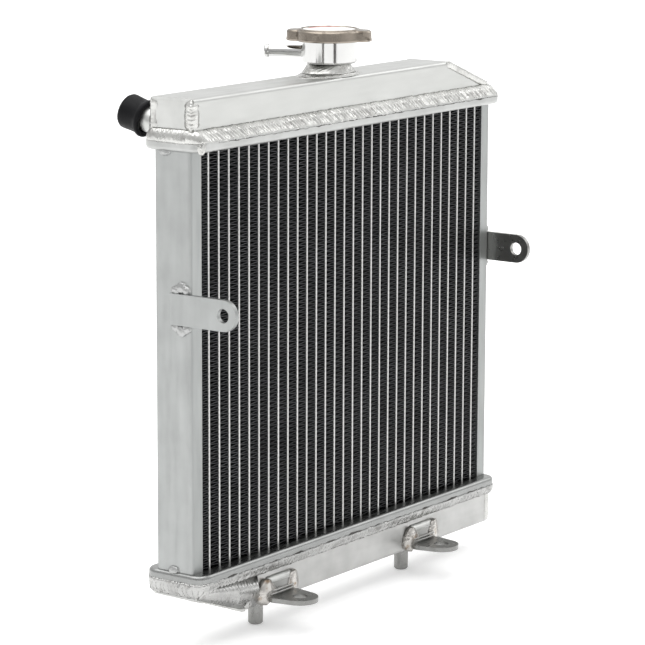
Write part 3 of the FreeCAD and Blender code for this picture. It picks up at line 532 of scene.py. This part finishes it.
lip_rail = plan_loop(TRAY_LOW.x - LIP_GAP, TRAY_HIGH.x + LIP_GAP, TRAY_HIGH.y + LIP_GAP,
                     TRAY_CORNER, TRAY_LOW.z + LIP_OVERLAP)
wall_rail = plan_loop(BASE_LOW.x, BASE_HIGH.x, BASE_HIGH.y + WALL_GAP, TANK_CORNER,
                      TRAY_LOW.z - WALL_RUN)
# At the left end the bead reaches down to the slope.
for on_lip, on_wall in zip(lip_rail, wall_rail):
    share = min(1.0, max(0.0, (TRAY_LOW.x + REACH_FROM - on_lip.x) / REACH_RUN))
    share = share * share * (3 - 2 * share)
    on_wall.z += (SLOPE_FOOT_BASE + 0.4 * MM - on_wall.z) * share
bead("bottom_header_bead", lip_rail, wall_rail, 2.1 * MM, 3.0 * MM, 12, side=-1, closed=True,
     bow=1.5, ragged=0.12, groove=0.7, material=LOW_WELD)
toe_line("bottom_header_toe_line", lip_rail, 1.0, 3)


# --- Beads on the tanks' corners and sloped ends -------------------------------------------

def corner_bead(name, corner, into_a, into_b, width_a, width_b, seed, crown=1.3 * MM,
                pitch=2.8 * MM, **more):
    """A bead over an outside corner; corner holds the points that the edge runs through."""
    across_a, across_b = Vector(into_a), Vector(into_b)
    lift = -(across_a + across_b) * 0.12 * MM
    rail_a = [Vector(p) + across_a * width_a + lift for p in corner]
    rail_b = [Vector(p) + across_b * width_b + lift for p in corner]
    line_a, line_b = rails(rail_a, rail_b)
    middle = (line_a[0] + line_b[0]) / 2
    ahead = (line_a[1] + line_b[1]) / 2
    bulge = (ahead - middle).cross(line_b[0] - line_a[0])
    side = 1 if bulge.dot(across_a + across_b) < 0 else -1
    ridge = width_a * width_b / math.hypot(width_a, width_b)
    return bead(name, line_a, line_b, crown, pitch, seed, side=side, ridge=ridge, **more)


bead_foot = LIP_HIGH.z + WALL_RUN - 1.5 * MM
# The front left corner's bead is wider and taller than the one behind it.
for word, sign in (("front", -1), ("back", 1)):
    wall = TOP_HIGH.y * sign
    inward = (0, -sign, 0)
    corner_bead(f"top_left_{word}_bead",
                [(TOP_LOW.x, wall, bead_foot), (TOP_LOW.x, wall, TOP_HIGH.z - 0.6 * MM)],
                (1, 0, 0), inward, 5.0 * MM, (7.4 if sign < 0 else 4.2) * MM, 21 + sign,
                crown=(2.0 if sign < 0 else 0.7) * MM, pitch=2.3 * MM, bow=1.0,
                groove=0.35, ragged=0.12)
    wall = BASE_HIGH.y * sign
    corner_bead(f"bottom_right_{word}_bead",
                [(BASE_HIGH.x, wall, 1.5 * MM),
                 (BASE_HIGH.x, wall, TRAY_LOW.z - WALL_RUN + 2 * MM)],
                (-1, 0, 0), inward, 3.0 * MM, 3.0 * MM, 31 + sign)


def slope_bead(name, path, sign, width, seed):
    """A bead along a sloped end's edge: half on the flat wall, half on the slope."""
    rail_a, rail_b = [], []
    for k, (x, y, z) in enumerate(path):
        before, after = Vector(path[max(k - 1, 0)]), Vector(path[min(k + 1, len(path) - 1)])
        along = (after - before).normalized()
        inside = along.cross(Vector((0, sign, 0)))
        centre = Vector(((TOP_LOW.x + TOP_HIGH.x) / 2, y, (TOP_HIGH.z + BASE_LOW.z) / 2))
        if inside.dot(centre - Vector((x, y, z))) < 0:
            inside = -inside
        rail_a.append(Vector((x, y + 0.15 * MM * sign, z)) + inside * width)
        rail_b.append(Vector((x, y - sign * width, z)) - inside * 0.15 * MM)
    line_a, line_b = rails(rail_a, rail_b)
    across = line_b[0] - line_a[0]
    bulge = (line_a[1] - line_a[0]).cross(across)
    outside = Vector((0, sign, 0)) - (line_a[0] - Vector(path[0])).normalized()
    return bead(name, line_a, line_b, 0.7 * MM, 2.7 * MM, seed, ridge=width * 0.66,
                side=1 if bulge.dot(outside) > 0 else -1)


for word, sign in (("front", -1), ("back", 1)):
    wall = TOP_HIGH.y * sign
    slope_bead(f"top_slope_{word}_bead",
               [(TOP_SLOPE_START - 2 * MM, wall, TOP_HIGH.z),
                (TOP_SLOPE_START + 2 * MM, wall, TOP_HIGH.z - 0.8 * MM),
                (TOP_HIGH.x - 1 * MM, wall, SLOPE_FOOT_TOP + 0.4 * MM),
                (TOP_HIGH.x, wall, bead_foot - 1 * MM)], sign, 4.2 * MM, 41 + sign)
    wall = BASE_HIGH.y * sign
    slope_bead(f"bottom_slope_{word}_bead",
               [(BASE_SLOPE_START + 2 * MM, wall, BASE_LOW.z),
                (BASE_SLOPE_START - 2 * MM, wall, BASE_LOW.z + 0.7 * MM),
                (BASE_LOW.x + 1 * MM, wall, SLOPE_FOOT_BASE - 0.4 * MM),
                (BASE_LOW.x, wall, TRAY_LOW.z - WALL_RUN + 3 * MM)], sign, 2.2 * MM, 51 + sign)


# Below the header bead, weld covers the sloped corner's walls as far as the left bracket.
bracket_low, bracket_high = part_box("left_lower_bracket")
filler_end = (bracket_low.x + bracket_high.x) / 2 - LEG_HALF - 9 * MM
for word, sign in (("front", -1), ("back", 1)):
    wall = BASE_HIGH.y * sign + WALL_GAP * sign
    tuck = TRAY_LOW.z - WALL_RUN * 0.35
    belly = (BASE_HIGH.y * 0.3 + TRAY_HIGH.y * 0.7) * sign
    low_rail, high_rail = rails(
        [Vector((BASE_LOW.x + 0.3 * MM, wall, SLOPE_FOOT_BASE - 0.4 * MM)),
         Vector((BASE_SLOPE_START - 4 * MM, wall, BASE_LOW.z + 1.2 * MM)),
         Vector((filler_end, wall, BASE_LOW.z + 0.5 * MM))],
        [Vector((BASE_LOW.x + 0.3 * MM, belly, tuck)),
         Vector((BASE_SLOPE_START - 14 * MM, belly, tuck)),
         Vector((filler_end, wall, TRAY_LOW.z - WALL_RUN + 1 * MM))])
    bead(f"bottom_slope_{word}_filler", low_rail, high_rail, 1.0 * MM, 3.4 * MM, 57 + sign,
         side=sign, bow=1.2, groove=0.7, ragged=0.0, blunt=True, material=LOW_WELD)
    blob(f"bottom_slope_{word}_curl",
         (BASE_SLOPE_START + 3.5 * MM, BASE_HIGH.y * sign + 0.8 * MM * sign, 3.4 * MM),
         (3.6 * MM, 2.6 * MM, 1.2 * MM), 15 + sign, (0, sign, 0), LOW_WELD)


# --- Filler neck: the flared weld under the cup --------------------------------------------

def ring_rail(centre, radius_x, radius_y, z, steps=220, turn_by=0.0):
    """A level ellipse of points round a centre."""
    return [Vector((centre.x + radius_x * math.cos(math.tau * i / steps + turn_by),
                    centre.y + radius_y * math.sin(math.tau * i / steps + turn_by), z))
            for i in range(steps)]


flare = [ring_rail(NECK_AXIS, wide * MM, deep * MM, TOP_HIGH.z + up * MM, turn_by=turned)
         for wide, deep, up, turned in ((29.0, 15.7, -0.2, 0.0), (20.5, 15.2, 1.7, 0.12),
                                        (13.1, 13.1, 7.3, 0.5))]
bead("neck_foot_bead", flare[0], flare[1], 0.35 * MM, 3.6 * MM, 61, closed=True, bow=2.0,
     groove=0.7, ragged=0.10)
bead("neck_flare_bead", flare[1], flare[2], 0.55 * MM, 3.8 * MM, 62, closed=True, bow=2.2,
     groove=0.8, ragged=0.08)


# --- Pipes: a bead round each root, and the rubber caps ------------------------------------

PIPE_BEAD_RADIUS = 8.8 * MM
PIPE_TILT = math.radians(15.5)
PIPE_STEPS = 160
ROOT_RISE = 3.4 * MM
ROOT_RADIUS = 8.2 * MM
ROOT_WIDE, ROOT_TALL = 11.6 * MM, 11.2 * MM


def pipe_bead(name, pipe, end_x, wall_y, tilt, seed):
    """A bead between a pipe and the tank's back wall, folded round the tank's corner."""
    low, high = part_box(pipe)
    centre_x = (low.x + high.x) / 2
    centre_z = low.z + PIPE_BEAD_RADIUS if tilt else (low.z + high.z) / 2
    outward_x = math.copysign(1, end_x)
    rail_a, rail_b = [], []
    for i in range(PIPE_STEPS):
        angle = math.tau * i / PIPE_STEPS
        c, s = math.cos(angle), math.sin(angle)
        rail_b.append(Vector((centre_x + ROOT_RADIUS * c, wall_y + ROOT_RISE,
                              centre_z + ROOT_RADIUS * s + ROOT_RISE * math.tan(tilt))))
        x = centre_x + ROOT_WIDE * c
        past = max(0.0, (x - end_x) * outward_x)
        rail_a.append(Vector((x - past * outward_x * 0.8, wall_y - past * 1.1,
                              centre_z + ROOT_TALL * s)))
    return bead(name, rail_a, rail_b, 1.3 * MM, 3.0 * MM, seed, side=-1, closed=True)


pipe_bead("inlet_pipe_bead", "inlet_pipe", TOP_LOW.x, TOP_HIGH.y, PIPE_TILT, 71)
pipe_bead("outlet_pipe_bead", "outlet_pipe", BASE_HIGH.x, BASE_HIGH.y, 0, 72)


RUBBER_LENGTH = 16.7 * MM
SOCKET_DEPTH = 12.6 * MM


def rubber_cap(name, node, body, tilt):
    """A hose-end cap: a wide closed end, a slight waist and a thick rolled mouth."""
    low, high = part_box(node)
    centre = (low + high) / 2
    half = RUBBER_LENGTH / 2
    axis = (0, math.cos(tilt), math.sin(tilt))
    mouth = -half
    # Radii in millimetres against heights in metres.
    profile = [(0.02, mouth + SOCKET_DEPTH), (8.15, mouth + SOCKET_DEPTH),
               (8.15, mouth + 1.0 * MM), (8.6, mouth + 0.2 * MM),
               (9.6, mouth - 0.1 * MM), (10.9, mouth + 0.1 * MM), (11.5, mouth + 0.8 * MM),
               (11.6, mouth + 1.8 * MM), (11.3, mouth + 2.8 * MM), (10.7, mouth + 3.6 * MM),
               (10.4, mouth + 6.0 * MM), (10.5, mouth + 9.5 * MM), (10.75, half - 2.4 * MM),
               (10.7, half - 1.4 * MM), (10.2, half - 0.5 * MM), (9.3, half - 0.05 * MM),
               (4.0, half), (0.02, half + 0.05 * MM)]
    turned = [(radius * MM, height) for radius, height in profile]
    made = lathe(name, turned, centre, axis, RUBBER, body)
    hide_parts(node)


rubber_cap("inlet_cap_rubber", "inlet_rubber_cap", "inlet_cover", PIPE_TILT)
rubber_cap("outlet_cap_rubber", "outlet_rubber_cap", "outlet_cover", 0)


# --- Pressure cap: a pressed lid with two ears, its tangs and a round label -----------------

LID_RADIUS = 20.9 * MM
EAR_RADIUS = 9 * MM
EAR_CENTRE = 18.2 * MM
HEADING = math.radians(-64)
LID_STEPS = 180
DISH_RADIUS = 17.2 * MM
RIVET_RADIUS = 3.1 * MM
TANG_FROM, TANG_TO = 17.95 * MM, 20.5 * MM
TANG_SECTION = ((-4.5, 0.05), (4.5, 0.05), (4.5, 0.9), (-4.5, 0.9))     # across and up, in mm
lid_at = Vector((NECK_AXIS.x, NECK_AXIS.y, 0))
lid_low, lid_top = CAP_LOW.z, CAP_HIGH.z


def lid_ring(shrink, z, circle=None, blend=0.0):
    """The lid's outline drawn in by shrink, or part of the way to a circle of that radius."""
    ring = []
    for i in range(LID_STEPS):
        angle = math.tau * i / LID_STEPS
        reach = LID_RADIUS - shrink
        lobe = EAR_RADIUS - shrink
        offset = EAR_CENTRE * math.sin(angle)
        if abs(offset) < lobe:
            ear = EAR_CENTRE * abs(math.cos(angle)) + math.sqrt(lobe ** 2 - offset ** 2)
            reach = max(reach, ear)
        if circle is not None:
            reach = reach + (circle - reach) * blend
        ring.append(lid_at + Vector((reach * math.cos(angle + HEADING),
                                     reach * math.sin(angle + HEADING), z)))
    return ring


# The outline goes up the skirt, in to the dish, down to the rivet and back under the lid.
lid_rings = [lid_ring(0.9 * MM, lid_low + 0.1 * MM), lid_ring(0.3 * MM, lid_low),
             lid_ring(-0.15 * MM, lid_low + 0.4 * MM), lid_ring(-0.1 * MM, lid_low + 1.2 * MM),
             lid_ring(0.15 * MM, lid_low + 2.2 * MM), lid_ring(0.2 * MM, lid_top - 2.6 * MM),
             lid_ring(0.45 * MM, lid_top - 1.7 * MM), lid_ring(1.0 * MM, lid_top - 1.1 * MM),
             lid_ring(1.9 * MM, lid_top - 0.8 * MM),
             lid_ring(1.9 * MM, lid_top - 0.7 * MM, DISH_RADIUS + 2.2 * MM, 0.7),
             lid_ring(0, lid_top - 0.3 * MM, DISH_RADIUS + 1.7 * MM, 1),
             lid_ring(0, lid_top, DISH_RADIUS + 1.0 * MM, 1),
             lid_ring(0, lid_top - 0.1 * MM, DISH_RADIUS + 0.4 * MM, 1),
             lid_ring(0, lid_top - 0.7 * MM, DISH_RADIUS, 1),
             lid_ring(0, lid_top - 2.0 * MM, DISH_RADIUS - 0.4 * MM, 1),
             lid_ring(0, lid_top - 2.2 * MM, DISH_RADIUS - 1.0 * MM, 1),
             lid_ring(0, lid_top - 2.2 * MM, RIVET_RADIUS, 1),
             lid_ring(0, lid_top - 3.0 * MM, RIVET_RADIUS, 1),
             lid_ring(0, lid_top - 3.0 * MM, DISH_RADIUS - 0.2 * MM, 1),
             lid_ring(0, lid_top - 1.7 * MM, DISH_RADIUS + 0.9 * MM, 1),
             lid_ring(1.5 * MM, lid_top - 1.9 * MM), lid_ring(1.0 * MM, lid_top - 2.7 * MM)]
lid = piece("pressed_lid", *skin(lid_rings, True), CAP, "cap_cover")
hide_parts("cap_shell")

for word, way in (("front", -1), ("back", 1)):
    tang = []
    for reach in (TANG_FROM, TANG_TO):
        for across, z in TANG_SECTION:
            turned = Matrix.Rotation(HEADING, 3, "Z") @ Vector((across * MM, way * reach, 0))
            tang.append(lid_at + turned + Vector((0, 0, lid_low + z * MM)))
    piece(f"{word}_cap_tang", *skin([tang[:4], tang[4:]], False), CAP, "cap_cover", smooth=False)

label_at = Vector((NECK_AXIS.x, NECK_AXIS.y, lid_top))
lathe("cap_label", [(0.02 * MM, -1.35 * MM), (16.4 * MM, -1.35 * MM), (16.8 * MM, -1.1 * MM),
                    (16.5 * MM, -0.6 * MM), (15.9 * MM, -0.5 * MM), (0.02 * MM, -0.4 * MM)],
      label_at, (0, 0, 1), LABEL, "cap_cover")
ARC_STEPS = 40
ARC_RADIUS = 13.2
ARC_LOW, ARC_HIGH = -0.6, -0.36
arc = []
for i in range(ARC_STEPS + 1):
    angle = math.radians(5 + 105 * i / ARC_STEPS)
    taper = math.sin(math.pi * i / ARC_STEPS) ** 0.5
    outer = ARC_RADIUS + 0.2 + 1.5 * taper
    section = []
    for radius, up in ((ARC_RADIUS, ARC_LOW), (outer, ARC_LOW), (outer, ARC_HIGH),
                       (ARC_RADIUS, ARC_HIGH)):
        section.append(label_at + Vector((radius * MM * math.cos(angle),
                                          radius * MM * math.sin(angle), up * MM)))
    arc.append(section)
piece("cap_label_arc", *skin(arc, False), RED, "cap_cover", smooth=False)


# --- Lower brackets: heat-tinted beads beside each leg, a smooth one above, ridges on it ----

def level_rails(middle_x, upper, lower):
    """Two level rails as wide as a leg, each given by its depth and height."""
    return rails(*([Vector((middle_x + way * LEG_HALF, y, z)) for way in (-1, 1)]
                   for y, z in (upper, lower)))


LEG_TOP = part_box("left_lower_bracket")[1].z
LEG_THICK = 3 * MM
LEG_BEAD_TOP = LEG_TOP + 3.0 * MM
LEG_BEAD_INWARD = 6.5 * MM
FOLD_HALF = 0.8 * MM
for seed, node, heavy in ((80, "left_lower_bracket", 1.35), (85, "right_lower_bracket", 1.0)):
    low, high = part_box(node)
    middle_x = (low.x + high.x) / 2
    wall, face = BASE_LOW.y, BASE_LOW.y - LEG_THICK
    for word, sign in (("left", -1), ("right", 1)):
        weight = heavy if sign < 0 else 1.25
        edge = middle_x + sign * LEG_HALF
        inner_x = edge - sign * LEG_BEAD_INWARD
        outer, inner = rails(
            [Vector((edge + sign * 9.0 * MM * weight, wall - 0.1 * MM, -0.4 * MM)),
             Vector((edge + sign * 7.0 * MM * weight, wall - 0.1 * MM, LEG_BEAD_TOP))],
            [Vector((inner_x, face - 0.4 * MM, 0.2 * MM)),
             Vector((inner_x, face - 0.4 * MM, LEG_BEAD_TOP - 1 * MM))])
        bead(f"{node}_{word}_bead", outer, inner, 2.2 * MM * weight, 3.2 * MM, seed + sign,
             side=-sign, ragged=0.2, bow=0.6, material=BURNT_WELD)
    upper, lower = level_rails(middle_x, (wall - 0.1 * MM, LEG_TOP + 3.2 * MM),
                               (face - 0.2 * MM, LEG_TOP - 0.8 * MM))
    bead(f"{node}_upper_bead", upper, lower, 0.6 * MM, 9.0 * MM, seed + 3, side=-1, groove=0.1,
         ragged=0.05, material=SHEET)
    for k, rise in enumerate((1.1, 3.1)):
        z = low.z + LEG_THICK + rise * MM
        upper, lower = level_rails(middle_x, (face - 0.1 * MM, z + FOLD_HALF),
                                   (face - 0.1 * MM, z - FOLD_HALF))
        bead(f"{node}_fold_{k}", upper, lower, 0.9 * MM, 12.0 * MM, seed + 5 + k, side=-1,
             groove=0.1, ragged=0.05, material=BRACKET)


# --- Side straps: lumps of weld above and below, on the channel's outer face ---------------

for seed, node, sign in ((90, "left_side_strap", -1), (95, "right_side_strap", 1)):
    low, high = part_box(node)
    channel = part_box("left_side_channel")[0].x if sign < 0 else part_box("right_side_channel")[1].x
    for word, edge, way in (("upper", high.z, 1), ("lower", low.z, -1)):
        lumps = ((-3.0, 1.8, 3.6, 2.8), (-6.8, 3.6, 3.7, 3.7), (-10.4, 2.2, 3.1, 3.0))
        for k, (y, up, long, tall) in enumerate(lumps):
            blob(f"{node}_{word}_lump_{k}",
                 (channel + sign * 0.3 * MM, y * MM, edge + way * up * MM),
                 (long * MM, tall * MM, 2.0 * MM), seed + 3 * k + way,
                 (sign, 0, 0.15 * way), SATIN_WELD)


# A smear of weld on the top lip's front left corner.
corner_way = Vector((-0.6, -0.8, 0))
smear_at = Vector((LIP_LOW.x + TRAY_CORNER, LIP_LOW.y + TRAY_CORNER, LIP_LOW.z + 3.0 * MM))
blob("top_lip_smear", smear_at + corner_way * (TRAY_CORNER - 0.1 * MM),
     (2.6 * MM, 4.2 * MM, 0.9 * MM), 17, corner_way)


# --- Small beads: round the pins, and tacks between the channels and the headers ------------

pins_low, pins_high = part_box("locating_pins")
PIN_RADIUS = 4.75 * MM
PIN_STEPS = 90
for word, x in (("left", pins_low.x + PIN_RADIUS), ("right", pins_high.x - PIN_RADIUS)):
    centre = Vector((x, 0, 0))
    foot = ring_rail(centre, PIN_RADIUS + 2 * MM, PIN_RADIUS + 2 * MM, BASE_LOW.z - WALL_GAP,
                     PIN_STEPS)
    stem = ring_rail(centre, PIN_RADIUS + WALL_GAP, PIN_RADIUS + WALL_GAP,
                     BASE_LOW.z - 2 * MM, PIN_STEPS)
    bead(f"{word}_pin_bead", foot, stem, 0.5 * MM, 2.2 * MM, 100, side=-1, closed=True)

for word, node, sign in (("left", "left_side_channel", -1), ("right", "right_side_channel", 1)):
    low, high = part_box(node)
    outer_face = low.x if sign < 0 else high.x
    for place, z, y in (("upper", high.z - 0.4 * MM, 5.5 * MM),
                        ("lower", low.z + 1.2 * MM, 0.5 * MM)):
        blob(f"{word}_{place}_tack", (outer_face + sign * 0.2 * MM, y, z),
             (4.2 * MM, 2.6 * MM, 1.6 * MM), 13 + sign, (sign, 0, 0.25), SATIN_WELD)


# --- Stage: white floor and soft studio light ----------------------------------------------

scene.view_settings.view_transform = "Standard"
world = bpy.data.worlds.new("studio")
scene.world = world
world.use_nodes = True
tree = world.node_tree
backdrop = tree.nodes["Background"]
backdrop.inputs["Color"].default_value = (1, 1, 1, 1)
toward = add(tree, "ShaderNodeTexCoord").outputs["Generated"]
key = Vector((0.62, 0.30, 0.72)).normalized()
towards_key = add(tree, "ShaderNodeVectorMath", {0: toward, 1: key}, operation="DOT_PRODUCT")
shade = add(tree, "ShaderNodeMapRange", {"Value": towards_key.outputs["Value"], "From Min": -1.0,
                                         "From Max": 1.0, "To Min": 0.50, "To Max": 1.04})
tree.links.new(shade.outputs["Result"], backdrop.inputs["Strength"])

sun_data = bpy.data.lights.new("overhead_softbox", "SUN")
sun_data.energy = 1.9
sun_data.angle = math.radians(75)
sun = bpy.data.objects.new("overhead_softbox", sun_data)
sun.rotation_euler = Vector((0.12, -0.10, -1)).to_track_quat("-Z", "Y").to_euler()
scene.collection.objects.link(sun)

KEY_AWAY = 2.3
middle = (cad_low + cad_high) / 2
key_data = bpy.data.lights.new("side_softbox", "AREA")
key_data.shape = "SQUARE"
key_data.size = 1.1
key_data.energy = 5
key_light = bpy.data.objects.new("side_softbox", key_data)
shines_from = Vector((0.80, -0.30, 0.53)).normalized()
key_light.location = middle + shines_from * KEY_AWAY
key_light.rotation_euler = (-shines_from).to_track_quat("-Z", "Y").to_euler()
scene.collection.objects.link(key_light)

# Two dark cards, seen only in reflections, give the polished neck its upright bands.
card_paint = bpy.data.materials.new("dark_card")
card_paint.use_nodes = True
card_shader = card_paint.node_tree.nodes["Principled BSDF"]
card_shader.inputs["Base Color"].default_value = (0.05, 0.045, 0.04, 1)
CARD_AWAY = 1.2
CARD_LOW, CARD_HIGH = -0.01, 0.45
level_back = Vector((back.x, back.y, 0)).normalized()
for name, turned, half_width in (("left_card", -24, 0.085), ("right_card", 24, 0.12)):
    card_way = Matrix.Rotation(math.radians(turned), 3, "Z") @ level_back
    along = Vector((-card_way.y, card_way.x, 0)) * half_width
    foot = NECK_AXIS + card_way * CARD_AWAY
    low, high = Vector((foot.x, foot.y, CARD_LOW)), Vector((foot.x, foot.y, CARD_HIGH))
    card_mesh = bpy.data.meshes.new(name)
    card_mesh.from_pydata([low - along, low + along, high + along, high - along], [],
                          [(0, 1, 2, 3)])
    card_mesh.materials.append(card_paint)
    card = bpy.data.objects.new(name, card_mesh)
    scene.collection.objects.link(card)
    card.visible_camera = False
    card.visible_shadow = False
    card.visible_diffuse = False

FLOOR_HALF = 30
FLOOR_GAP = 0.1 * MM
floor_z = cad_low.z - FLOOR_GAP
floor_mesh = bpy.data.meshes.new("floor")
floor_mesh.from_pydata([(-FLOOR_HALF, -FLOOR_HALF, floor_z), (FLOOR_HALF, -FLOOR_HALF, floor_z),
                        (FLOOR_HALF, FLOOR_HALF, floor_z), (-FLOOR_HALF, FLOOR_HALF, floor_z)],
                       [], [(0, 1, 2, 3)])
floor = bpy.data.objects.new("floor", floor_mesh)
scene.collection.objects.link(floor)
paper = bpy.data.materials.new("white_paper")
paper.use_nodes = True
paper_shader = paper.node_tree.nodes["Principled BSDF"]
paper_shader.inputs["Base Color"].default_value = (0.82, 0.82, 0.82, 1)
paper_shader.inputs["Roughness"].default_value = 0.9
paper_shader.inputs["Emission Color"].default_value = (1, 1, 1, 1)
paper_shader.inputs["Emission Strength"].default_value = 0.34
floor_mesh.materials.append(paper)
